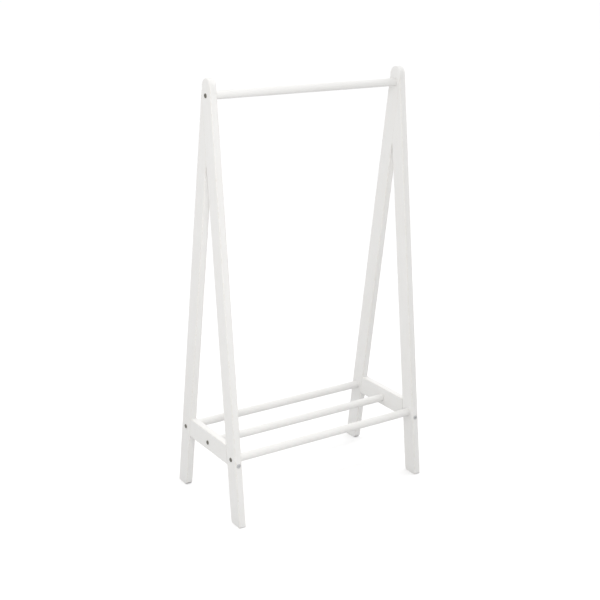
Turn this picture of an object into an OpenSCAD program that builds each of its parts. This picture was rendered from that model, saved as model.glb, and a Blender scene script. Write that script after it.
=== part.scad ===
// Free-standing clothes rack: two wooden A-frames joined by one hanging rail
// and three low shelf rails, and held together by furniture bolts.
// +X runs along the rails to the right, +Y to the rear and +Z up.
// The origin is on the floor, at the middle of the footprint.

/* [Rack] */
// Overall height, floor to the top of the heads
rack_h = 1500; // [1300:10:1700]
// Width over the outer faces of the two end frames
rack_w = 790; // [600:10:1200]
// Depth of the feet on the floor
base_d = 440; // [400:5:520]
// Radius of the round head of an end frame
head_r = 27; // [25:1:32]

/* [Boards] */
// Width of a leg board, square to its length
leg_w = 59; // [55:1:65]
// Thickness of the leg boards and side stretchers
board_t = 25; // [24:1:30]
// Height of a side stretcher
stretcher_h = 70; // [66:1:90]
// Height of a side stretcher's lower edge above the floor
stretcher_z = 205; // [180:1:260]
// Size of the eased arrises on the boards
arris = 2.5; // [1:0.5:3]

/* [Rails] */
// Diameter of the round rails
rail_d = 28; // [25:1:30]
// Drop from the top of the rack to the axis of the hanging rail
rail_drop = 56; // [52:1:62]
// Height of the shelf rails' axes above the stretchers' lower edge
shelf_rise = 29; // [27:1:32]
// Depth of the sockets that seat the rail ends
socket_depth = 5; // [3:1:6]

/* [Fasteners] */
// Thread diameter of the bolts
bolt_d = 6; // [5:1:6]
// Diameter of the flat bolt heads
bolt_head_d = 15; // [14:1:17]
// Thickness of the bolt heads
bolt_head_t = 2.2; // [1.6:0.2:3]
// Length of a rail bolt under its head
rail_bolt_len = 40; // [38:1:45]
// Length of a stretcher bolt under its head
stretcher_bolt_len = 100; // [98:1:105]
// Diameter of the locating dowels
dowel_d = 8; // [6:1:8]
// Length of the locating dowels
dowel_len = 30; // [24:1:32]

/* [Hidden] */
$fn = 48;
// Loose fit on a bolt's shank, fit of what is glued or screwed in, and fit of a rail end
bolt_clearance = 0.5;
snug = 0.1;
socket_clearance = 0.4;
// How far a cutting shape runs past the face that it opens
over = 1;

// A frame's outline in its own plane: each leg's outer edge touches the round head.
// head_z * sin(lean) + head_r = base_d / 2 * cos(lean) gives the legs' lean
head_z = rack_h - head_r;
lean = acos(head_r / norm([base_d / 2, head_z])) - atan2(head_z, base_d / 2);
slope = tan(lean);
leg_run = leg_w / cos(lean);
tangent_y = head_r * cos(lean);
tangent_z = head_z + head_r * sin(lean);
// Height where the legs' inner edges meet
apex_z = (base_d / 2 - leg_run) / slope;

// Feet: corners taken off the outer and the inner edge of each leg
foot_outer_cut = 3;
foot_inner_cut = 9;

// Rails, and the places where they meet the frames
rail_z = rack_h - rail_drop;
shelf_z = stretcher_z + shelf_rise;
shelf_y = -leg_mid(shelf_z);
rail_len = rack_w - 2 * (board_t - socket_depth);
rail_end_x = board_t / 2 - socket_depth;
socket_d = rail_d + socket_clearance;

// Bolts, threaded inserts and barrel nuts
hex_af = 4;
hex_depth = 3;
bolt_tip = 1;
bolt_hole_d = bolt_d + bolt_clearance;
nut_bore_d = bolt_d + snug;
insert_d = 10;
insert_len = 15;
nut_d = 10;
nut_len = 16;
nut_slot_w = 1.4;
nut_slot_depth = 1.6;
// Room left beyond the end of a bolt
tip_room = 3;

// Joint between leg and stretcher: the bolt passes below the shelf rail's, the dowel above it
stretcher_bolt_z = stretcher_z + 15.5;
dowel_z = stretcher_z + 53;
nut_y = leg_inner(stretcher_bolt_z) + 30;
// Round seat that squares the leg's leaning edge to the bolt head
seat_d = bolt_head_d + 2;
seat_y = leg_outer(stretcher_bolt_z + seat_d / 2);

// What repeats: [name, direction], and [name, Y, Z] for the rails
SIDES = [["left", -1], ["right", 1]];
ENDS = [["front", -1], ["rear", 1]];
RAILS = [
    ["hanging_rail", 0, rail_z],
    ["front_shelf_rail", -shelf_y, shelf_z],
    ["middle_shelf_rail", 0, shelf_z],
    ["rear_shelf_rail", shelf_y, shelf_z]
];

// Y of the front leg's outer edge, middle and inner edge at a height
function leg_outer(z) = -base_d / 2 + slope * z;
function leg_mid(z) = leg_outer(z) + leg_run / 2;
function leg_inner(z) = leg_outer(z) + leg_run;

// An end frame is drawn at x = 0 with its outer face towards -x, then put on its side
module on_side(direction) {
    translate([direction * (rack_w - board_t) / 2, 0, 0])
        mirror([direction > 0 ? 1 : 0, 0, 0])
            children();
}

// A frame's front parts are drawn, and the rear ones are their mirror image
module on_end(direction) {
    mirror([0, direction > 0 ? 1 : 0, 0])
        children();
}

// A flat shape drawn as (Y, Z), given its thickness along X
module board(thickness = board_t) {
    rotate([90, 0, 90])
        linear_extrude(thickness, center = true)
            children();
}

module x_cylinder(diameter, x_from, x_to, y = 0, z = 0) {
    translate([x_from, y, z])
        rotate([0, 90, 0])
            cylinder(h = x_to - x_from, d = diameter);
}

module y_cylinder(diameter, y_from, y_to, z = 0) {
    translate([0, y_from, z])
        rotate([-90, 0, 0])
            cylinder(h = y_to - y_from, d = diameter);
}

// Outline of a whole frame, filled in between its legs
module frame_outline() {
    polygon([
        [-base_d / 2, 0],
        [base_d / 2, 0],
        [tangent_y, tangent_z],
        [-tangent_y, tangent_z]
    ]);
    translate([0, head_z])
        circle(r = head_r);
}

// The front leg's strip, from below the floor to above the head
module leg_strip() {
    polygon([
        [leg_outer(-over), -over],
        [leg_inner(-over), -over],
        [leg_inner(rack_h), rack_h],
        [leg_outer(rack_h), rack_h]
    ]);
}

module foot_cuts() {
    polygon([
        [leg_outer(0) - over, -over],
        [leg_outer(0) + foot_outer_cut + over, -over],
        [leg_outer(0) - over, foot_outer_cut + over]
    ]);
    polygon([
        [leg_inner(0) + over, -over],
        [leg_inner(0) - foot_inner_cut - over, -over],
        [leg_inner(0) + over, foot_inner_cut + over]
    ]);
}

// Cuts a board's corner at 45 degrees along +Z. The board lies towards +x and +y
module arris_bar(length) {
    linear_extrude(length)
        polygon([[-over, -over], [arris + over, -over], [-over, arris + over]]);
}

// The same along an edge that leans with the front leg and meets the floor at y
module leaning_arris(y, top_z, board_in_front) {
    translate([-board_t / 2, y, 0])
        rotate([-lean, 0, 0])
            mirror([0, board_in_front ? 1 : 0, 0])
                translate([0, 0, -over])
                    arris_bar(top_z / cos(lean) + over);
}

// The same round the head
module head_arris() {
    reach = 2 * head_r;
    intersection() {
        translate([-board_t / 2, 0, head_z])
            rotate([0, 90, 0])
                rotate_extrude()
                    polygon([
                        [head_r - arris - over, -over],
                        [head_r + over, -over],
                        [head_r + over, arris + over]
                    ]);
        translate([0, 0, head_z])
            board(2 * board_t)
                polygon([
                    [0, 0],
                    [reach * cos(lean), reach * sin(lean)],
                    [reach, reach],
                    [-reach, reach],
                    [-reach * cos(lean), reach * sin(lean)]
                ]);
    }
}

// All the arrises of a front leg, with the rear edge that its half of the head ends in
module leg_arrises() {
    for (face = [0, 1])
        mirror([face, 0, 0]) {
            head_arris();
            leaning_arris(leg_outer(0), tangent_z, false);
            leaning_arris(leg_inner(0), apex_z, true);
            mirror([0, 1, 0])
                leaning_arris(leg_outer(0), tangent_z, false);
        }
}

// Socket for a rail end, and the hole for its bolt
module rail_seat(y, z) {
    x_cylinder(socket_d, rail_end_x, board_t / 2 + over, y, z);
    x_cylinder(bolt_hole_d, -board_t / 2 - over, board_t / 2, y, z);
}

// A front leg. The two legs of a frame are half-lapped at the head: the other leg fills
// this one's inner half (lap = 1) or its outer half (lap = -1)
module leg(lap) {
    color("whitesmoke")
        difference() {
            board()
                difference() {
                    intersection() {
                        frame_outline();
                        leg_strip();
                    }
                    foot_cuts();
                }
            translate([lap * board_t / 2, 0, 0])
                board()
                    mirror([1, 0])
                        leg_strip();
            leg_arrises();
            rail_seat(0, rail_z);
            rail_seat(-shelf_y, shelf_z);
            y_cylinder(seat_d, leg_outer(0), seat_y, stretcher_bolt_z);
            y_cylinder(bolt_hole_d, leg_outer(0), nut_y, stretcher_bolt_z);
            y_cylinder(dowel_d + snug, leg_inner(dowel_z) - dowel_len / 2 - over, nut_y, dowel_z);
        }
}

module stretcher() {
    top_z = stretcher_z + stretcher_h;
    color("whitesmoke")
        difference() {
            board()
                polygon([
                    [leg_inner(stretcher_z), stretcher_z],
                    [-leg_inner(stretcher_z), stretcher_z],
                    [-leg_inner(top_z), top_z],
                    [leg_inner(top_z), top_z]
                ]);
            for (face = [0, 1])
                mirror([face, 0, 0]) {
                    translate([-board_t / 2, base_d / 2, stretcher_z])
                        rotate([90, 0, 0])
                            arris_bar(base_d);
                    translate([-board_t / 2, -base_d / 2, top_z])
                        rotate([-90, 0, 0])
                            arris_bar(base_d);
                }
            rail_seat(0, shelf_z);
            for (end = [0, 1])
                mirror([0, end, 0])
                    stretcher_end_holes();
        }
}

// Holes for the bolt, its barrel nut and the dowel at the stretcher's front end
module stretcher_end_holes() {
    nut_hole_h = stretcher_bolt_z + nut_len / 2 + over - stretcher_z;
    bolt_end = seat_y + stretcher_bolt_len + tip_room;
    y_cylinder(bolt_hole_d, -base_d / 2, bolt_end, stretcher_bolt_z);
    y_cylinder(dowel_d + snug, -base_d / 2, leg_inner(dowel_z) + dowel_len / 2 + over, dowel_z);
    translate([0, nut_y, stretcher_z - over])
        cylinder(h = nut_hole_h + over, d = nut_d + snug);
}

// A round rail along X, with a stepped hole for a threaded insert in each end
module rail() {
    bolt_reach = rail_bolt_len - (board_t - socket_depth) + tip_room;
    color("whitesmoke")
        difference() {
            x_cylinder(rail_d, -rail_len / 2, rail_len / 2);
            for (end = [0, 1])
                mirror([end, 0, 0])
                    translate([-rail_len / 2, 0, 0]) {
                        x_cylinder(insert_d + snug, -over, insert_len);
                        x_cylinder(bolt_hole_d, 0, bolt_reach);
                    }
        }
}

// A flat-headed bolt with a hex socket. Its head's underside is at z = 0 and its shank runs up
module bolt(length) {
    rim = bolt_head_t / 2;
    difference() {
        union() {
            translate([0, 0, -rim])
                cylinder(h = rim, d = bolt_head_d);
            translate([0, 0, -bolt_head_t])
                cylinder(h = rim, d1 = bolt_head_d - 2 * rim, d2 = bolt_head_d);
            cylinder(h = length - bolt_tip, d = bolt_d);
            translate([0, 0, length - bolt_tip])
                cylinder(h = bolt_tip, d1 = bolt_d, d2 = bolt_d - 2 * bolt_tip);
        }
        translate([0, 0, -bolt_head_t - over])
            cylinder(h = hex_depth + over, d = hex_af / cos(30), $fn = 6);
    }
}

module rail_bolt() {
    color("darkgray")
        translate([-board_t / 2, 0, 0])
            rotate([0, 90, 0])
                bolt(rail_bolt_len);
}

module stretcher_bolt() {
    color("darkgray")
        translate([0, seat_y, stretcher_bolt_z])
            rotate([-90, 0, 0])
                bolt(stretcher_bolt_len);
}

// A threaded insert, flush with the rail's end
module insert() {
    color("silver")
        translate([rail_end_x, 0, 0])
            difference() {
                x_cylinder(insert_d, 0, insert_len);
                x_cylinder(nut_bore_d, -over, insert_len + over);
            }
}

// A cross dowel in the stretcher's lower edge, with a slot that turns it in line with the bolt
module barrel_nut() {
    color("silver")
        translate([0, nut_y, stretcher_bolt_z])
            difference() {
                cylinder(h = nut_len, d = nut_d, center = true);
                y_cylinder(nut_bore_d, -nut_d, nut_d);
                translate([0, 0, -nut_len / 2])
                    cube([2 * nut_d, nut_slot_w, 2 * nut_slot_depth], center = true);
            }
}

// A wooden dowel across the joint between leg and stretcher
module dowel() {
    color("burlywood")
        translate([0, leg_inner(dowel_z) - dowel_len / 2, dowel_z])
            rotate([-90, 0, 0]) {
                cylinder(h = over, d1 = dowel_d - 2 * over, d2 = dowel_d);
                translate([0, 0, over])
                    cylinder(h = dowel_len - 2 * over, d = dowel_d);
                translate([0, 0, dowel_len - over])
                    cylinder(h = over, d1 = dowel_d, d2 = dowel_d - 2 * over);
            }
}

for (r = RAILS) {
    translate([0, r[1], r[2]]) rail();
}
for (s = SIDES) {
    on_side(s[1]) stretcher();
    for (e = ENDS) {
        corner = str(s[0], "_", e[0]);
        on_side(s[1]) on_end(e[1]) leg(-e[1]);
        on_side(s[1]) on_end(e[1]) stretcher_bolt();
        on_side(s[1]) on_end(e[1]) barrel_nut();
        on_side(s[1]) on_end(e[1]) dowel();
    }
    for (r = RAILS) {
        end_fitting = str(s[0], "_", r[0]);
        on_side(s[1]) translate([0, r[1], r[2]]) rail_bolt();
        on_side(s[1]) translate([0, r[1], r[2]]) insert();
    }
}
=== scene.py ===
"""Looks of a white A-frame clothes rack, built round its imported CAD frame.

Lengths are in metres. +X runs along the rails, +Y to the rear and +Z up. Every CAD node is
replaced by a detailed mesh: eased boards, round rails, threaded bolts, inserts, barrel nuts
and fluted dowels. The grain in a wooden piece's material runs along the piece's own Z, which
in a leg is turned by its lean.
"""

import math
from itertools import product

import bmesh
import bpy
from mathutils import Matrix, Vector


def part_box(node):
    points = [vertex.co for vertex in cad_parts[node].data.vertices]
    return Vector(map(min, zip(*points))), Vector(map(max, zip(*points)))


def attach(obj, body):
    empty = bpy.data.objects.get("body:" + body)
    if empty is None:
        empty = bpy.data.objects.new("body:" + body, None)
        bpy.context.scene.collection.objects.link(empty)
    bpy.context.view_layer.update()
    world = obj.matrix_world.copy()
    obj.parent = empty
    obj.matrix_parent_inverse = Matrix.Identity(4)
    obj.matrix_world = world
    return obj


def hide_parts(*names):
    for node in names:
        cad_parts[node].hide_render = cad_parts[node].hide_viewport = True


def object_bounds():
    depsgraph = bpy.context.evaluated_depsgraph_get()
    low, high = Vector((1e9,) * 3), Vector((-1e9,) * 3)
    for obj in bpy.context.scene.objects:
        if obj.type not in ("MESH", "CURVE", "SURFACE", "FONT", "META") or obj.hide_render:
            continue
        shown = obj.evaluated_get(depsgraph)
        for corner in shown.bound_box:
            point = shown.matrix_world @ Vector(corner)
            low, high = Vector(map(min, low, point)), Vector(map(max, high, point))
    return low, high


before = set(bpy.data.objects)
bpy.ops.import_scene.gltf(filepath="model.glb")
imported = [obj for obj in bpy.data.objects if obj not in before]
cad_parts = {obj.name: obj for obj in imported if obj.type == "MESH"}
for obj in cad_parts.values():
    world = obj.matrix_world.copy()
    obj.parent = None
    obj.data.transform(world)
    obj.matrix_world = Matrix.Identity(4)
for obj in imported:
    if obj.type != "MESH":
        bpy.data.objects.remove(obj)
cad_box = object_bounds()

MM = 0.001
X, Y, Z = Vector((1, 0, 0)), Vector((0, 1, 0)), Vector((0, 0, 1))

# What repeats
SIDES = (("left", -1), ("right", 1))
ENDS = (("front", -1), ("rear", 1))
RAILS = ("hanging_rail", "front_shelf_rail", "middle_shelf_rail", "rear_shelf_rail")

# Outline of an end frame. Each leg's outer edge touches the round head
HEAD_RADIUS = 27 * MM
LEG_WIDTH = 59 * MM
BASE_DEPTH = 440 * MM
RACK_HEIGHT = cad_box[1].z
HEAD_Z = RACK_HEIGHT - HEAD_RADIUS
TOE_TO_HEAD = math.hypot(BASE_DEPTH / 2, HEAD_Z)
LEAN = math.acos(HEAD_RADIUS / TOE_TO_HEAD) - math.atan2(HEAD_Z, BASE_DEPTH / 2)
SLOPE = math.tan(LEAN)
LEG_RUN = LEG_WIDTH / math.cos(LEAN)
APEX_Z = (BASE_DEPTH / 2 - LEG_RUN) / SLOPE

# Faces of the left frame's boards, which the right frame mirrors
LEG_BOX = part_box("left_front_leg")
OUTER_X, INNER_X = LEG_BOX[0].x, LEG_BOX[1].x
BOARD_X = (OUTER_X + INNER_X) / 2
BOARD_T = INNER_X - OUTER_X

# Easing of the boards: along the arrises, round the sawn feet, and where two boards meet
ARRIS_RADIUS = 4 * MM
SAWN_RADIUS = 1.2 * MM
CRISP_RADIUS = 0.4 * MM
EASE_STEPS = 6
FOOT_OUTER_RADIUS = 5 * MM
FOOT_INNER_RADIUS = 15 * MM
FADE_START = 10 * MM
FADE_LENGTH = 60 * MM
FADE_STEPS = 8
HEAD_STEPS = 20
# Half of the hairline between the lapped legs, and how far a cutter runs past a face
HAIRLINE = 0.06 * MM
OVER = 1 * MM
# How far the parting solids reach past the board, to each side and above and below it
PARTING_REACH = 1.0
PARTING_MARGIN = 0.1

# Fasteners and their holes
BOLT_RADIUS = 3 * MM
BOLT_HEAD_T = 2.2 * MM
BOLT_HEX = 4 * MM
RIM_HEIGHT = 1.1 * MM
RIM_WIDTH = 1.6 * RIM_HEIGHT
RAIL_BOLT_THREAD = 22 * MM
STRETCHER_BOLT_THREAD = 34 * MM
BOLT_HOLE_RADIUS = 3.25 * MM
INSERT_HEX = 6.6 * MM
INSERT_HEX_DEPTH = 4 * MM
THREAD_PITCH = 1 * MM
THREAD_DEPTH = 0.55 * MM
BORE_RADIUS = 3.05 * MM
BORE_THREAD_DEPTH = 0.35 * MM
KNIFE_PITCH = 2.5 * MM
KNIFE_DEPTH = 0.8 * MM
SOCKET_RADIUS = 14.2 * MM
INSERT_HOLE_RADIUS = 5.05 * MM
DOWEL_HOLE_RADIUS = 4.05 * MM
SEAT_RADIUS = 8.5 * MM
# Chamfers at the mouths of sockets, and of holes for inserts and nuts
SOCKET_CHAMFER = 0.4 * MM
HOLE_CHAMFER = 0.3 * MM
# A thread is drawn with this many rings to a turn
THREAD_RINGS = 8
# Sides of round shapes, by size
RAIL_SIDES = 72
SOCKET_SIDES = 64
BOLT_SIDES = 48
HOLE_SIDES = 32
# Each fastener is turned from the one before by this angle, so that the hexagons stand differently
GOLDEN_ANGLE = math.pi * (3 - math.sqrt(5))


def leg_outer(z):
    """Y of the front leg's outer edge at a height."""
    return -BASE_DEPTH / 2 + SLOPE * z


def leg_inner(z):
    """Y of the front leg's inner edge at a height."""
    return leg_outer(z) + LEG_RUN


def mix(low, high, share):
    return low + (high - low) * share


def smooth_step(share):
    return share * share * (3 - 2 * share)


# ---------------------------------------------------------------- camera

# The lens and the sensor are in mm. The shift raises the rack a little in the picture
CAMERA_SENSOR = 36
CAMERA_AT = Vector((-2.184, -3.206, 1.973))
CAMERA_YAW = math.radians(34.03)
CAMERA_PITCH = math.radians(-16.93)
CAMERA_ROLL = math.radians(1.06)
CAMERA_LENS = 68.76
CAMERA_SHIFT_Y = -0.045


def make_camera():
    data = bpy.data.cameras.new("camera")
    data.sensor_width = CAMERA_SENSOR
    data.lens = CAMERA_LENS
    data.shift_y = CAMERA_SHIFT_Y
    level = math.cos(CAMERA_PITCH)
    ahead = Vector((
        math.sin(CAMERA_YAW) * level,
        math.cos(CAMERA_YAW) * level,
        math.sin(CAMERA_PITCH),
    ))
    right = Vector((math.cos(CAMERA_YAW), -math.sin(CAMERA_YAW), 0))
    up = right.cross(ahead)
    turn = Matrix((right, up, -ahead)).transposed() @ Matrix.Rotation(CAMERA_ROLL, 3, "Z")
    camera = bpy.data.objects.new("camera", data)
    camera.matrix_world = Matrix.Translation(CAMERA_AT) @ turn.to_4x4()
    bpy.context.scene.collection.objects.link(camera)
    bpy.context.scene.camera = camera


# ---------------------------------------------------------------- mesh tools


def to_mesh(shape, name):
    """A mesh made from a bmesh of closed solids, with its normals outwards."""
    bmesh.ops.recalc_face_normals(shape, faces=shape.faces)
    mesh = bpy.data.meshes.new(name)
    shape.to_mesh(mesh)
    shape.free()
    return mesh


def bridge(shape, ring, after):
    """Quads between two rings of the same length."""
    for i, start in enumerate(ring):
        following = (i + 1) % len(ring)
        shape.faces.new((start, ring[following], after[following], after[i]))


def loft(rings):
    """A closed solid through rings of points of the same length, with a flat face at each end."""
    shape = bmesh.new()
    made = [[shape.verts.new(point) for point in ring] for ring in rings]
    for ring, after in zip(made, made[1:]):
        bridge(shape, ring, after)
    shape.faces.new(made[0])
    shape.faces.new(made[-1])
    return to_mesh(shape, "loft")


def spin(rings, sides=BOLT_SIDES, hollow=False):
    """A solid of rings about Z, each (z, radius). A radius is a number, 0 at a pole, or a function
    of the height and the angle. In a hollow one the last ring joins the first."""
    shape = bmesh.new()
    made = []
    for z, radius in rings:
        if radius == 0:
            made.append([shape.verts.new((0, 0, z))])
            continue
        ring = []
        for side in range(sides):
            angle = math.tau * side / sides
            reach = radius(z, angle) if callable(radius) else radius
            ring.append(shape.verts.new((reach * math.cos(angle), reach * math.sin(angle), z)))
        made.append(ring)
    pairs = list(zip(made, made[1:]))
    if hollow:
        pairs.append((made[-1], made[0]))
    for ring, after in pairs:
        if len(ring) == 1 or len(after) == 1:
            pole, rim = (ring, after) if len(ring) == 1 else (after, ring)
            for i, start in enumerate(rim):
                shape.faces.new((pole[0], start, rim[(i + 1) % sides]))
        else:
            bridge(shape, ring, after)
    for ring in (made[0], made[-1]):
        if len(ring) > 1 and not hollow:
            shape.faces.new(ring)
    return to_mesh(shape, "spin")


def prism(outline, x_from, x_to):
    """A straight-sided solid of an outline of (y, z) points."""
    return loft([[(x, y, z) for y, z in outline] for x in (x_from, x_to)])


def aim(start, direction):
    """The place of a shape whose own Z goes from a point in a direction."""
    return Matrix.Translation(start) @ direction.to_track_quat("Z", "Y").to_matrix().to_4x4()


def placed(mesh, place):
    mesh.transform(place)
    return mesh


def cut(mesh, tool, operation="DIFFERENCE"):
    """The mesh after an exact boolean with another one."""
    piece = bpy.data.objects.new("piece", mesh)
    cutter = bpy.data.objects.new("cutter", tool)
    for item in (piece, cutter):
        bpy.context.scene.collection.objects.link(item)
    modifier = piece.modifiers.new("cut", "BOOLEAN")
    modifier.operation = operation
    modifier.solver = "EXACT"
    modifier.object = cutter
    graph = bpy.context.evaluated_depsgraph_get()
    result = bpy.data.meshes.new_from_object(piece.evaluated_get(graph))
    for item in (piece, cutter):
        bpy.data.objects.remove(item)
    return result


def mirrored(mesh):
    """A copy of a mesh, mirrored in X."""
    copy = mesh.copy()
    copy.transform(Matrix.Scale(-1, 4, X))
    copy.flip_normals()
    return copy


def along_axis(node, direction):
    """Where a round CAD node starts along a direction, its length and its largest radius."""
    low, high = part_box(node)
    size = high - low
    length = abs(size.dot(direction))
    across = [extent for extent, part in zip(size, direction) if round(part) == 0]
    return (low + high) / 2 - direction * length / 2, length, max(across) / 2


# ---------------------------------------------------------------- material tools

# The furthest that a piece's pattern is shifted, in metres
PATTERN_SHIFT = (13, 7, 5)


def add(tree, kind, values=None, **settings):
    """A new node. The settings are its own properties, and the values its inputs by name or number:
    each is a plain value, or the output of another node."""
    made = tree.nodes.new(kind)
    for name, value in settings.items():
        setattr(made, name, value)
    for key, value in (values or {}).items():
        if isinstance(value, bpy.types.NodeSocket):
            tree.links.new(value, made.inputs[key])
        else:
            made.inputs[key].default_value = value
    return made


def new_material(name, **fixed):
    """A material, its node tree and its shader. The fixed values are the shader's own, by socket."""
    material = bpy.data.materials.new(name)
    material.use_nodes = True
    tree = material.node_tree
    shader = tree.nodes["Principled BSDF"]
    for socket, value in fixed.items():
        shader.inputs[socket.replace("_", " ")].default_value = value
    return material, tree, shader


def own_place(tree, turn=0.0):
    """A piece's own coordinates, turned about X so that Z runs along a leaning board."""
    place = add(tree, "ShaderNodeTexCoord").outputs["Object"]
    return add(tree, "ShaderNodeMapping", {"Vector": place, "Rotation": (turn, 0, 0)}).outputs[0]


def pattern_place(tree, turn=0.0, stretch=1.0):
    """The same, shifted differently for each piece. A stretch below 1 draws a pattern out along Z."""
    place = own_place(tree, turn)
    chance = add(tree, "ShaderNodeObjectInfo").outputs["Random"]
    shift = add(tree, "ShaderNodeVectorMath", {0: PATTERN_SHIFT, "Scale": chance}, operation="SCALE")
    moved = add(tree, "ShaderNodeVectorMath", {0: place, 1: shift.outputs[0]}, operation="ADD")
    drawn_out = {"Vector": moved.outputs[0], "Scale": (1, 1, stretch)}
    return add(tree, "ShaderNodeMapping", drawn_out).outputs[0]


def noise(tree, place, size, detail=2.0, roughness=0.5, distortion=0.0):
    values = {
        "Vector": place,
        "Scale": 1 / size,
        "Detail": detail,
        "Roughness": roughness,
        "Distortion": distortion,
    }
    return add(tree, "ShaderNodeTexNoise", values).outputs["Fac"]


def remap(tree, value, low, high, out_low, out_high):
    values = {
        "Value": value,
        "From Min": low,
        "From Max": high,
        "To Min": out_low,
        "To Max": out_high,
    }
    return add(tree, "ShaderNodeMapRange", values).outputs["Result"]


def math_node(tree, operation, first, second=0.0):
    return add(tree, "ShaderNodeMath", {0: first, 1: second}, operation=operation).outputs[0]


def blend_colour(tree, share, first, second):
    values = {"Factor": share, "A": first, "B": second}
    made = add(tree, "ShaderNodeMix", data_type="RGBA")
    sockets = {s.name: s for s in made.inputs if s.type == "RGBA" or s.identifier == "Factor_Float"}
    for name, value in values.items():
        if isinstance(value, bpy.types.NodeSocket):
            tree.links.new(value, sockets[name])
        else:
            sockets[name].default_value = value
    return next(s for s in made.outputs if s.type == "RGBA")


def bump(tree, height, depth, below=None):
    """A bump of a depth in metres, on top of another one."""
    values = {"Height": height, "Distance": depth, "Strength": 1.0}
    if below is not None:
        values["Normal"] = below
    return add(tree, "ShaderNodeBump", values).outputs["Normal"]


def arris_share(tree, turn, half_thickness, half_width):
    """1 on a board's eased arrises and 0 on its flats."""
    parts = add(tree, "ShaderNodeSeparateXYZ", {0: own_place(tree, turn)})
    gaps = []
    for axis, half in (("X", half_thickness), ("Y", half_width)):
        gaps.append(math_node(tree, "SUBTRACT", half, math_node(tree, "ABSOLUTE", parts.outputs[axis])))
    corner = add(tree, "ShaderNodeCombineXYZ", {"X": gaps[0], "Y": gaps[1]})
    distance = add(tree, "ShaderNodeVectorMath", {0: corner.outputs[0]}, operation="LENGTH")
    return remap(tree, distance.outputs["Value"], 1.2 * ARRIS_RADIUS, 0.4 * ARRIS_RADIUS, 0, 1)


# ---------------------------------------------------------------- materials

PAINT = (0.815, 0.81, 0.798, 1)
PAINT_WARM = (0.797, 0.787, 0.766, 1)
PAINT_THIN = (0.70, 0.665, 0.60, 1)
DARK_NICKEL = (0.185, 0.178, 0.150, 1)
DARK_NICKEL_WORN = (0.27, 0.262, 0.235, 1)
ZINC = (0.72, 0.725, 0.73, 1)
ZINC_DULL = (0.56, 0.565, 0.57, 1)
BEECH = (0.57, 0.36, 0.19, 1)
BEECH_DARK = (0.40, 0.22, 0.10, 1)

# Sizes and depths of the patterns in the paint, the plating and the beech
FILM_SIZE = 120 * MM
THIN_PATCH_SIZE = 9 * MM
GRAIN_SIZE, GRAIN_DEPTH = 6 * MM, 0.10 * MM
PORE_SIZE, PORE_DEPTH = 1.3 * MM, 0.03 * MM
STIPPLE_SIZE, STIPPLE_DEPTH = 1.1 * MM, 0.012 * MM
TURNING_SIZE, TURNING_DEPTH = 0.22 * MM, 0.015 * MM
BLOTCH_SIZE, BLOTCH_DEPTH = 2.5 * MM, 0.02 * MM
SCUFF_SIZE, SCUFF_ROUGHNESS = 0.5 * MM, 0.18
FLECK_SIZE, FLECK_DEPTH = 0.9 * MM, 0.05 * MM
BEECH_GRAIN_SIZE = 2.2 * MM
NICKEL_ROUGHNESS = 0.36
INSERT_ROUGHNESS = 0.34
ZINC_ROUGHNESS = 0.32


def white_paint(name, half_width=None, turn=0.0):
    """Satin paint on softwood: the grain and a fine stipple show faintly through an uneven coat,
    which is thinner along the arrises of a board. The turn is that of a leaning board's grain."""
    material, tree, shader = new_material(name, Specular_IOR_Level=0.45)
    place = pattern_place(tree, turn)
    along = pattern_place(tree, turn, stretch=0.045)
    film = noise(tree, place, FILM_SIZE, detail=3)
    grain = noise(tree, along, GRAIN_SIZE, detail=5, roughness=0.62, distortion=0.3)
    pores = noise(tree, along, PORE_SIZE, detail=2, roughness=0.7)
    stipple = noise(tree, place, STIPPLE_SIZE, detail=2)
    streaks = remap(tree, grain, 0.35, 0.7, 0.0, 0.35)
    clouds = remap(tree, film, 0.35, 0.65, 0.0, 0.55)
    tone = blend_colour(tree, math_node(tree, "ADD", streaks, clouds), PAINT, PAINT_WARM)
    if half_width is not None:
        patches = remap(tree, noise(tree, place, THIN_PATCH_SIZE, detail=4), 0.42, 0.68, 0.05, 0.5)
        edge = arris_share(tree, turn, BOARD_T / 2, half_width)
        tone = blend_colour(tree, math_node(tree, "MULTIPLY", edge, patches), tone, PAINT_THIN)
    tree.links.new(tone, shader.inputs["Base Color"])
    satin = remap(tree, film, 0.3, 0.7, 0.36, 0.46)
    sheen = math_node(tree, "ADD", satin, remap(tree, pores, 0, 1, 0, 0.06))
    tree.links.new(sheen, shader.inputs["Roughness"])
    relief = bump(tree, grain, GRAIN_DEPTH)
    relief = bump(tree, pores, PORE_DEPTH, relief)
    relief = bump(tree, stipple, STIPPLE_DEPTH, relief)
    tree.links.new(relief, shader.inputs["Normal"])
    return material


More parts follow.
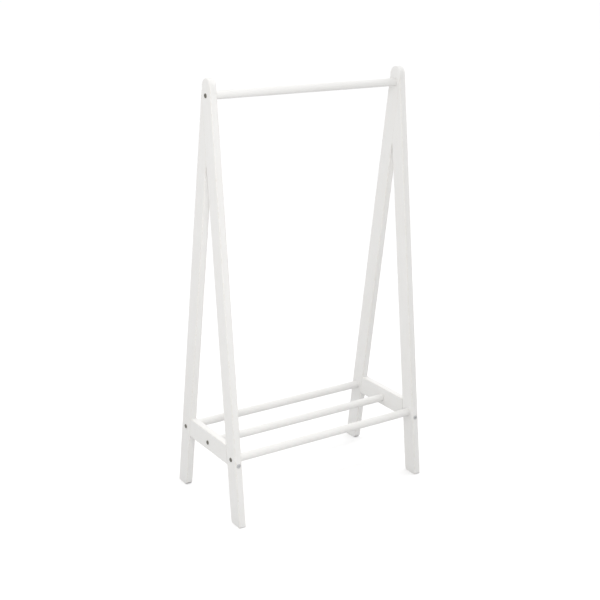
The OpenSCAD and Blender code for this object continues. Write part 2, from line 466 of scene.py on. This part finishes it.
def plated_steel(name, bright, dull, roughness):
    """Plated steel with the fine rings of turning, blotches and small scuffs."""
    material, tree, shader = new_material(name, Metallic=1.0)
    place = pattern_place(tree)
    flat = add(tree, "ShaderNodeVectorMath", {0: own_place(tree), 1: (1, 1, 0)}, operation="MULTIPLY")
    reach = add(tree, "ShaderNodeVectorMath", {0: flat.outputs[0]}, operation="LENGTH").outputs["Value"]
    outwards = add(tree, "ShaderNodeCombineXYZ", {"X": reach}).outputs[0]
    rings = noise(tree, outwards, TURNING_SIZE, detail=3)
    blotches = noise(tree, place, BLOTCH_SIZE, detail=4, roughness=0.6)
    scuffs = noise(tree, place, SCUFF_SIZE, detail=3, distortion=1.2)
    tone = blend_colour(tree, remap(tree, blotches, 0.35, 0.65, 0, 1), bright, dull)
    tree.links.new(tone, shader.inputs["Base Color"])
    scuffed = remap(tree, scuffs, 0.4, 0.8, roughness, roughness + SCUFF_ROUGHNESS)
    gloss = math_node(tree, "ADD", scuffed, remap(tree, rings, 0.3, 0.7, -0.04, 0.06))
    tree.links.new(gloss, shader.inputs["Roughness"])
    relief = bump(tree, rings, TURNING_DEPTH)
    relief = bump(tree, blotches, BLOTCH_DEPTH, relief)
    tree.links.new(relief, shader.inputs["Normal"])
    return material


def bare_beech(name):
    """Bare beech, with short dark flecks along the grain."""
    material, tree, shader = new_material(name)
    fleck = noise(tree, pattern_place(tree, stretch=0.18), FLECK_SIZE, detail=3, roughness=0.7)
    grain = noise(tree, pattern_place(tree, stretch=0.05), BEECH_GRAIN_SIZE, detail=4)
    tone = blend_colour(tree, remap(tree, grain, 0.35, 0.65, 0, 0.6), BEECH, BEECH_DARK)
    tone = blend_colour(tree, remap(tree, fleck, 0.6, 0.72, 0, 0.7), tone, BEECH_DARK)
    tree.links.new(tone, shader.inputs["Base Color"])
    tree.links.new(remap(tree, grain, 0.3, 0.7, 0.55, 0.72), shader.inputs["Roughness"])
    tree.links.new(bump(tree, fleck, FLECK_DEPTH), shader.inputs["Normal"])
    return material


# ---------------------------------------------------------------- finishing a piece

# An edge that turns by more than this is shaded sharp
SHARP_ANGLE = math.radians(32)


def show(mesh, name, place, material, node):
    """Puts a mesh in the scene as the piece that stands for a CAD node."""
    mesh.shade_smooth()
    mesh.set_sharp_from_angle(angle=SHARP_ANGLE)
    mesh.materials.clear()
    mesh.materials.append(material)
    piece = bpy.data.objects.new(name, mesh)
    piece.matrix_world = place
    bpy.context.scene.collection.objects.link(piece)
    normals = piece.modifiers.new("even_shading", "WEIGHTED_NORMAL")
    normals.keep_sharp = True
    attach(piece, "root")
    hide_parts(node)


# ---------------------------------------------------------------- end frames


def rounded_corner(before, corner, after, radius):
    """Points of an arc that rounds a corner, each with its share of the way."""
    back, ahead = (before - corner).normalized(), (after - corner).normalized()
    half = back.angle(ahead) / 2
    centre = corner + (back + ahead).normalized() * radius / math.sin(half)
    start = corner + back * radius / math.tan(half) - centre
    sweep = math.pi - 2 * half
    if back.x * ahead.y - back.y * ahead.x > 0:
        sweep = -sweep
    points = []
    for step in range(EASE_STEPS + 1):
        share = step / EASE_STEPS
        points.append((centre + Matrix.Rotation(sweep * share, 2) @ start, share))
    return points


def front_half_outline():
    """The front half of an end frame, from the crotch round the foot to the top of the head:
    (y, z) points, each with the radius of its arris."""
    crotch = Vector((0, APEX_Z))
    heel, toe = Vector((leg_inner(0), 0)), Vector((leg_outer(0), 0))
    shoulder = Vector((-HEAD_RADIUS * math.cos(LEAN), HEAD_Z + HEAD_RADIUS * math.sin(LEAN)))
    points = [(crotch, CRISP_RADIUS)]
    for step in range(FADE_STEPS + 1):
        share = step / FADE_STEPS
        z = APEX_Z - FADE_START - FADE_LENGTH * share
        radius = mix(CRISP_RADIUS, ARRIS_RADIUS, smooth_step(share))
        points.append((Vector((leg_inner(z), z)), radius))
    for point, share in rounded_corner(crotch, heel, toe, FOOT_INNER_RADIUS):
        points.append((point, mix(ARRIS_RADIUS, SAWN_RADIUS, share)))
    for point, share in rounded_corner(heel, toe, shoulder, FOOT_OUTER_RADIUS):
        points.append((point, mix(SAWN_RADIUS, ARRIS_RADIUS, share)))
    for step in range(HEAD_STEPS + 1):
        angle = mix(math.pi - LEAN, math.pi / 2, step / HEAD_STEPS)
        around = Vector((math.cos(angle), math.sin(angle))) * HEAD_RADIUS
        points.append((around + Vector((0, HEAD_Z)), ARRIS_RADIUS))
    return points


def frame_outline():
    """The whole outline. The rear half mirrors the front, without the crotch and the top again."""
    front = front_half_outline()
    rear = [(Vector((-point.x, point.y)), radius) for point, radius in front[-2:0:-1]]
    return front + rear


def inward_steps(points):
    """For each point of an outline, the move that shifts both its edges inwards by one metre."""
    area = sum(a.x * b.y - b.x * a.y for a, b in zip(points, points[1:] + points[:1]))
    turn = 1 if area > 0 else -1
    normals = []
    for point, following in zip(points, points[1:] + points[:1]):
        edge = (following - point).normalized()
        normals.append(Vector((-edge.y, edge.x)) * turn)
    moves = []
    for i, normal in enumerate(normals):
        before = normals[i - 1]
        moves.append((before + normal) / (1 + before.dot(normal)))
    return moves


def whole_frame():
    """The left end frame as one board, before it is parted into two legs."""
    outline = frame_outline()
    points = [point for point, _ in outline]
    moves = inward_steps(points)
    turns = [math.pi / 2 * step / EASE_STEPS for step in range(EASE_STEPS + 1)]
    levels = [(OUTER_X, 1, turn) for turn in reversed(turns)]
    levels += [(INNER_X, -1, turn) for turn in turns]
    rings = []
    for face_x, inwards, turn in levels:
        ring = []
        for (point, radius), move in zip(outline, moves):
            at = point + move * radius * (1 - math.cos(turn))
            ring.append((face_x + inwards * radius * (1 - math.sin(turn)), at.x, at.y))
        rings.append(ring)
    return loft(rings)


def parting(end, first_x, last_x, beyond):
    """The solid on one side of a line up through the crotch and along an edge of the laps. The
    line follows the leg on that end, or beyond it the other leg, and stands off by the hairline."""
    low, high = -PARTING_MARGIN, RACK_HEIGHT + PARTING_MARGIN
    lap_y = -leg_inner(high) if beyond else leg_inner(high)
    far = PARTING_REACH if beyond else -PARTING_REACH
    line = [(-HAIRLINE, low), (-HAIRLINE, APEX_Z), (lap_y - HAIRLINE, high)]
    outline = line + [(far, high), (far, low)]
    return prism([(-end * y, z) for y, z in outline], first_x, last_x)


def rail_seat(rail):
    """Cutter for a rail's socket in the left frame and the hole of its bolt, from the outer face."""
    start, _, _ = along_axis(rail, X)
    depth = start.x - OUTER_X
    reach = BOARD_T + OVER
    rings = [
        (-OVER, BOLT_HOLE_RADIUS),
        (depth, BOLT_HOLE_RADIUS),
        (depth, SOCKET_RADIUS),
        (BOARD_T - SOCKET_CHAMFER, SOCKET_RADIUS),
        (reach, SOCKET_RADIUS + SOCKET_CHAMFER + OVER),
    ]
    return placed(spin(rings, SOCKET_SIDES), aim(Vector((OUTER_X, start.y, start.z)), X))


def bolt_way(corner, end):
    """Cutter for a stretcher bolt, from the leg's outer edge to past the bolt's tip."""
    inwards = -end * Y
    start, length, _ = along_axis(f"{corner}_stretcher_bolt", inwards)
    run_in = 40 * MM
    seat = run_in + BOLT_HEAD_T
    tip_room = 3 * MM
    rings = [
        (0, SEAT_RADIUS),
        (seat, SEAT_RADIUS),
        (seat, BOLT_HOLE_RADIUS),
        (run_in + length + tip_room, BOLT_HOLE_RADIUS),
    ]
    return placed(spin(rings), aim(start - inwards * run_in, inwards))


def dowel_way(corner, end):
    """Cutter for a locating dowel, a little longer than the dowel."""
    inwards = -end * Y
    start, length, _ = along_axis(f"{corner}_dowel", inwards)
    rings = [(-OVER, DOWEL_HOLE_RADIUS), (length + OVER, DOWEL_HOLE_RADIUS)]
    return placed(spin(rings, HOLE_SIDES), aim(start, inwards))


def leg_place(side, end):
    """Where a leg stands: the middle of its foot."""
    return Matrix.Translation((side * abs(BOARD_X), -end * (leg_outer(0) + LEG_RUN / 2), 0))


def leg_mesh(end, end_name, board):
    """A leg of the left frame, in its own coordinates. The front leg keeps the outer half of the
    lap, and the rear leg the inner half."""
    mesh = cut(board.copy(), parting(end, OUTER_X - OVER, INNER_X + OVER, False), "INTERSECT")
    if end < 0:
        lapped = (BOARD_X - HAIRLINE, INNER_X + OVER)
    else:
        lapped = (OUTER_X - OVER, BOARD_X + HAIRLINE)
    mesh = cut(mesh, parting(end, *lapped, True))
    corner = f"left_{end_name}"
    for tool in (
        rail_seat("hanging_rail"),
        rail_seat(f"{end_name}_shelf_rail"),
        bolt_way(corner, end),
        dowel_way(corner, end),
    ):
        mesh = cut(mesh, tool)
    return placed(mesh, leg_place(-1, end).inverted())


def stretcher_mesh():
    """The left stretcher, with its own Z to the rear and its own Y down."""
    low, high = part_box("left_stretcher")
    profile = []
    for quarter in range(4):
        right, top = quarter in (0, 3), quarter in (0, 1)
        centre_x = high.x - ARRIS_RADIUS if right else low.x + ARRIS_RADIUS
        centre_z = high.z - ARRIS_RADIUS if top else low.z + ARRIS_RADIUS
        for step in range(EASE_STEPS + 1):
            angle = math.pi / 2 * (quarter + step / EASE_STEPS)
            profile.append((centre_x, centre_z, math.cos(angle), math.sin(angle)))
    rings = []
    for end in (-1, 1):
        ends = [(CRISP_RADIUS, 0), (0, CRISP_RADIUS)]
        for inset, back in ends if end < 0 else reversed(ends):
            ring = []
            for centre_x, centre_z, across, up in profile:
                reach = ARRIS_RADIUS - inset
                z = centre_z + up * reach
                y = -end * (leg_inner(z) + HAIRLINE + back)
                ring.append((centre_x + across * reach, y, z))
            rings.append(ring)
    mesh = loft(rings)
    mesh = cut(mesh, rail_seat("middle_shelf_rail"))
    for end_name, end in ENDS:
        corner = f"left_{end_name}"
        mesh = cut(mesh, bolt_way(corner, end))
        mesh = cut(mesh, dowel_way(corner, end))
        mesh = cut(mesh, nut_way(corner))
    return placed(mesh, stretcher_place(-1).inverted())


def nut_way(corner):
    """Cutter for a barrel nut, from the stretcher's lower edge."""
    start, length, _ = along_axis(f"{corner}_barrel_nut", Z)
    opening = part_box("left_stretcher")[0].z - start.z
    rings = [
        (opening - OVER, INSERT_HOLE_RADIUS + OVER + HOLE_CHAMFER),
        (opening + HOLE_CHAMFER, INSERT_HOLE_RADIUS),
        (length + OVER, INSERT_HOLE_RADIUS),
    ]
    return placed(spin(rings, HOLE_SIDES), aim(start, Z))


def stretcher_place(side):
    """Where a stretcher is: its middle, with its own Z to the rear."""
    low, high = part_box("left_stretcher")
    middle = (low + high) / 2
    return aim(Vector((side * abs(middle.x), middle.y, middle.z)), Y)


# ---------------------------------------------------------------- rails and fasteners


def rail_mesh(rail):
    """A round rail with its own Z along +X, and a stepped hole for an insert in each end."""
    _, length, radius = along_axis(rail, X)
    insert_depth = along_axis(f"left_{rail}_insert", X)[1]
    hole_depth = 23 * MM
    drill_point = 1.5 * MM
    chamfer = 0.8 * MM
    half = [
        (hole_depth + drill_point, 0),
        (hole_depth, BOLT_HOLE_RADIUS),
        (insert_depth, BOLT_HOLE_RADIUS),
        (insert_depth, INSERT_HOLE_RADIUS),
        (HOLE_CHAMFER, INSERT_HOLE_RADIUS),
        (0, INSERT_HOLE_RADIUS + HOLE_CHAMFER),
        (0, radius - chamfer),
        (0.25 * chamfer, radius - 0.25 * chamfer),
        (chamfer, radius),
    ]
    spans = 15
    middle = [(length * i / spans, radius) for i in range(1, spans)]
    rings = half + middle + [(length - z, reach) for z, reach in reversed(half)]
    return spin(rings, RAIL_SIDES)


def hexagon(across_flats):
    """Radius of a hexagon as a function of the angle."""

    def radius(_, angle):
        off_flat = (angle + math.pi / 6) % (math.pi / 3) - math.pi / 6
        return across_flats / 2 / math.cos(off_flat)

    return radius


def screw(core, depth, pitch):
    """Radius of a screw thread with flattened crests and roots."""

    def radius(z, angle):
        share = (z / pitch - angle / math.tau) % 1
        ridge = 1 - abs(2 * share - 1)
        return core + depth * min(max(1.5 * ridge - 0.25, 0), 1)

    return radius


def threaded_rings(first, last, radius, pitch):
    """Rings of a thread between two heights."""
    count = max(2, round(abs(last - first) / pitch * THREAD_RINGS))
    return [(mix(first, last, i / count), radius) for i in range(count + 1)]


def bolt_mesh(length, head_radius, thread_length):
    """A flat-headed furniture bolt. The head's top is at z = 0 and the shank runs up."""
    socket = hexagon(BOLT_HEX)
    mouth = hexagon(BOLT_HEX + 0.5 * MM)
    socket_depth, socket_point = 3 * MM, 3.6 * MM
    mouth_top, mouth_depth = 0.02 * MM, 0.35 * MM
    flat_from, flat_to = 3.2 * MM, head_radius - 2.2 * RIM_HEIGHT
    edge, fillet, run_out, tip = 0.2 * MM, 0.3 * MM, 0.5 * MM, 1 * MM
    rings = [(socket_point, 0), (socket_depth, socket), (mouth_depth, socket), (mouth_top, mouth)]
    rings += [(0, flat_from), (0, flat_to)]
    for step in range(1, EASE_STEPS + 1):
        turn = math.pi / 2 * step / EASE_STEPS
        z = RIM_HEIGHT * (1 - math.cos(turn))
        rings.append((z, head_radius - RIM_WIDTH * (1 - math.sin(turn))))
    rings += [
        (BOLT_HEAD_T - edge, head_radius),
        (BOLT_HEAD_T, head_radius - edge),
        (BOLT_HEAD_T, BOLT_RADIUS + fillet),
        (BOLT_HEAD_T + fillet, BOLT_RADIUS),
    ]
    thread = screw(BOLT_RADIUS - THREAD_DEPTH, THREAD_DEPTH, THREAD_PITCH)
    start, end = length - thread_length, length - tip
    rings += [(start - run_out, BOLT_RADIUS)]
    rings += threaded_rings(start, end, thread, THREAD_PITCH)
    rings += [(length, BOLT_RADIUS - tip), (length, 0)]
    return spin(rings)


def insert_mesh(length, radius):
    """A threaded insert: knife thread outside, a hexagon mouth and a bolt's thread inside."""
    mouth = hexagon(INSERT_HEX)
    edge, collar, taper = 0.2 * MM, 1 * MM, 1.2 * MM
    knife_from, knife_to = 1.4 * MM, length - 1 * MM
    bore_end = INSERT_HEX_DEPTH + HOLE_CHAMFER
    knife = screw(radius - KNIFE_DEPTH, KNIFE_DEPTH, KNIFE_PITCH)
    bore = screw(BORE_RADIUS, BORE_THREAD_DEPTH, THREAD_PITCH)
    rings = [(0, mouth), (0, radius - edge), (edge, radius), (collar, radius)]
    rings += threaded_rings(knife_from, knife_to, knife, KNIFE_PITCH)
    rings += [(length, radius - taper)]
    rings += threaded_rings(length, bore_end, bore, THREAD_PITCH)
    rings += [(INSERT_HEX_DEPTH, mouth)]
    return spin(rings, hollow=True)


def nut_mesh(length, radius):
    """A barrel nut with its own Z up: a threaded hole across it, and a slot in its lower end."""
    ease = 0.4 * MM
    rings = [
        (0, 0),
        (0, radius - ease),
        (ease, radius),
        (length - ease, radius),
        (length, radius - ease),
        (length, 0),
    ]
    mesh = spin(rings)
    thread = screw(BORE_RADIUS, BORE_THREAD_DEPTH, THREAD_PITCH)
    reach = radius + OVER
    hole = spin(threaded_rings(0, 2 * reach, thread, THREAD_PITCH), HOLE_SIDES)
    mesh = cut(mesh, placed(hole, aim(Vector((0, -reach, length / 2)), Y)))
    slot_width, slot_depth = 1.4 * MM, 1.6 * MM
    outline = [
        (-slot_width / 2, -OVER),
        (slot_width / 2, -OVER),
        (slot_width / 2, slot_depth),
        (-slot_width / 2, slot_depth),
    ]
    return cut(mesh, prism(outline, -reach, reach))


def dowel_mesh(length, radius):
    """A fluted dowel with chamfered ends."""
    flutes, sides_to_a_flute, groove = 18, 6, 0.35 * MM
    chamfer = 1 * MM

    def fluted(_, angle):
        return radius - groove * max(0, math.cos(angle * flutes)) ** 2

    rings = [(0, 0), (0, radius - chamfer), (chamfer, fluted), (length - chamfer, fluted)]
    rings += [(length, radius - chamfer), (length, 0)]
    return spin(rings, flutes * sides_to_a_flute)


# ---------------------------------------------------------------- the rack


def make_boards():
    """The legs and the stretchers. The right frame's meshes mirror the left's."""
    low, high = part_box("left_stretcher")
    stretcher_paint = white_paint("white_paint_stretchers", (high.z - low.z) / 2)
    board = whole_frame()
    for end_name, end in ENDS:
        leg_paint = white_paint(f"white_paint_{end_name}_legs", LEG_WIDTH / 2, -end * LEAN)
        left = leg_mesh(end, end_name, board)
        for (side_name, side), mesh in zip(SIDES, (left, mirrored(left))):
            node = f"{side_name}_{end_name}_leg"
            show(mesh, f"{node}_board", leg_place(side, end), leg_paint, node)
    left = stretcher_mesh()
    for (side_name, side), mesh in zip(SIDES, (left, mirrored(left))):
        node = f"{side_name}_stretcher"
        show(mesh, f"{node}_board", stretcher_place(side), stretcher_paint, node)


def make_rails():
    """Four rails of the same mesh."""
    paint = white_paint("white_paint_rails")
    mesh = rail_mesh(RAILS[0])
    for rail in RAILS:
        start = along_axis(rail, X)[0]
        show(mesh.copy(), f"{rail}_round", aim(start, X), paint, rail)


def make_rail_fasteners():
    """A bolt and an insert at each end of each rail."""
    nickel = plated_steel("bolt_nickel", DARK_NICKEL, DARK_NICKEL_WORN, NICKEL_ROUGHNESS)
    zinc = plated_steel("insert_zinc", ZINC, ZINC_DULL, INSERT_ROUGHNESS)
    for count, ((side_name, side), rail) in enumerate(product(SIDES, RAILS), start=1):
        spun = Matrix.Rotation(count * GOLDEN_ANGLE, 4, "Z")
        inwards = -side * X
        node = f"{side_name}_{rail}_bolt"
        start, length, radius = along_axis(node, inwards)
        mesh = placed(bolt_mesh(length, radius, RAIL_BOLT_THREAD), spun)
        show(mesh, f"{node}_threaded", aim(start, inwards), nickel, node)
        node = f"{side_name}_{rail}_insert"
        start, length, radius = along_axis(node, inwards)
        mesh = placed(insert_mesh(length, radius), spun)
        show(mesh, f"{node}_threaded", aim(start, inwards), zinc, node)


def make_stretcher_fasteners():
    """A bolt, a barrel nut and a dowel at each end of each stretcher."""
    zinc = plated_steel("bolt_zinc", ZINC, ZINC_DULL, ZINC_ROUGHNESS)
    beech = bare_beech("dowel_beech")
    for count, ((side_name, _), (end_name, end)) in enumerate(product(SIDES, ENDS), start=1):
        spun = Matrix.Rotation(count * GOLDEN_ANGLE, 4, "Z")
        inwards = -end * Y
        corner = f"{side_name}_{end_name}"
        node = f"{corner}_stretcher_bolt"
        start, length, radius = along_axis(node, inwards)
        mesh = placed(bolt_mesh(length, radius, STRETCHER_BOLT_THREAD), spun)
        show(mesh, f"{node}_threaded", aim(start, inwards), zinc, node)
        node = f"{corner}_barrel_nut"
        start, length, radius = along_axis(node, Z)
        mesh = nut_mesh(length, radius)
        show(mesh, f"{node}_tapped", Matrix.Translation(start), zinc, node)
        node = f"{corner}_dowel"
        start, length, radius = along_axis(node, inwards)
        mesh = dowel_mesh(length, radius)
        show(mesh, f"{node}_fluted", aim(start, inwards), beech, node)


# ---------------------------------------------------------------- studio

WHITE = (1, 1, 1, 1)
FLOOR_BOUNCE = (0.65, 0.65, 0.65, 1)
FLOOR_REACH = 40


def floor_paper():
    """Matt paper, white to the camera. To the rack it bounces less light, so that undersides stay
    in shade."""
    material, tree, _ = new_material("floor_paper")
    tree.nodes.clear()
    seen = add(tree, "ShaderNodeLightPath").outputs["Is Camera Ray"]
    bounce = add(tree, "ShaderNodeBsdfDiffuse", {"Color": FLOOR_BOUNCE})
    direct = add(tree, "ShaderNodeBsdfDiffuse", {"Color": WHITE})
    both = add(tree, "ShaderNodeMixShader", {0: seen, 1: bounce.outputs[0], 2: direct.outputs[0]})
    add(tree, "ShaderNodeOutputMaterial", {"Surface": both.outputs[0]})
    return material


def make_floor():
    shape = bmesh.new()
    corners = ((-1, -1), (1, -1), (1, 1), (-1, 1))
    shape.faces.new([shape.verts.new((x * FLOOR_REACH, y * FLOOR_REACH, 0)) for x, y in corners])
    mesh = bpy.data.meshes.new("floor")
    shape.to_mesh(mesh)
    shape.free()
    mesh.materials.append(floor_paper())
    floor = bpy.data.objects.new("floor", mesh)
    bpy.context.scene.collection.objects.link(floor)


# The sky is brightest along these directions and fades between them: direction and strength.
# The fade is the power of the cosine that it follows
SKY_FADE = 2.0
SKY = {
    "top": ((0, 0, 1), 0.82),
    "left": ((-1, 0, 0.15), 0.62),
    "right": ((1, 0, 0.15), 1.65),
    "front": ((0, -1, 0.15), 0.34),
    "rear": ((0, 1, 0.3), 0.9),
}
# Soft lights: place, aim, width, height and power in watts. The small high key lights the rails
# from above
LIGHTS = {
    "high_key": ((-1.3, -1.6, 3.0), (0, 0, 0.9), 0.4, 0.4, 14),
    "low_key": ((-1.1, -1.6, 1.2), (-0.3, 0, 0.9), 1.0, 1.8, 8.4),
    "left_fill": ((-2.0, 0.3, 1.2), (-0.2, 0, 0.9), 1.4, 1.8, 4.0),
}


def make_sky():
    """Soft white surroundings for the rack, and a plain white backdrop for the camera."""
    world = bpy.data.worlds.new("studio")
    world.use_nodes = True
    bpy.context.scene.world = world
    tree = world.node_tree
    tree.nodes.clear()
    looking = add(tree, "ShaderNodeTexCoord").outputs["Generated"]
    strength = 0.0
    for direction, peak in SKY.values():
        towards = tuple(Vector(direction).normalized())
        facing = add(tree, "ShaderNodeVectorMath", {0: looking, 1: towards}, operation="DOT_PRODUCT")
        nearness = math_node(tree, "MAXIMUM", facing.outputs["Value"])
        lobe = math_node(tree, "POWER", nearness, SKY_FADE)
        strength = math_node(tree, "ADD", math_node(tree, "MULTIPLY", lobe, peak), strength)
    light = add(tree, "ShaderNodeBackground", {"Color": WHITE, "Strength": strength})
    backdrop = add(tree, "ShaderNodeBackground", {"Color": WHITE, "Strength": 1.0})
    seen = add(tree, "ShaderNodeLightPath").outputs["Is Camera Ray"]
    both = add(tree, "ShaderNodeMixShader", {0: seen, 1: light.outputs[0], 2: backdrop.outputs[0]})
    add(tree, "ShaderNodeOutputWorld", {"Surface": both.outputs[0]})


def make_lights():
    for name, (at, target, width, height, watts) in LIGHTS.items():
        data = bpy.data.lights.new(name, "AREA")
        data.shape = "RECTANGLE"
        data.size = width
        data.size_y = height
        data.energy = watts
        light = bpy.data.objects.new(name, data)
        light.matrix_world = aim(Vector(at), Vector(at) - Vector(target))
        bpy.context.scene.collection.objects.link(light)


make_camera()
make_boards()
make_rails()
make_rail_fasteners()
make_stretcher_fasteners()
make_floor()
make_sky()
make_lights()
bpy.context.scene.view_settings.view_transform = "Standard"
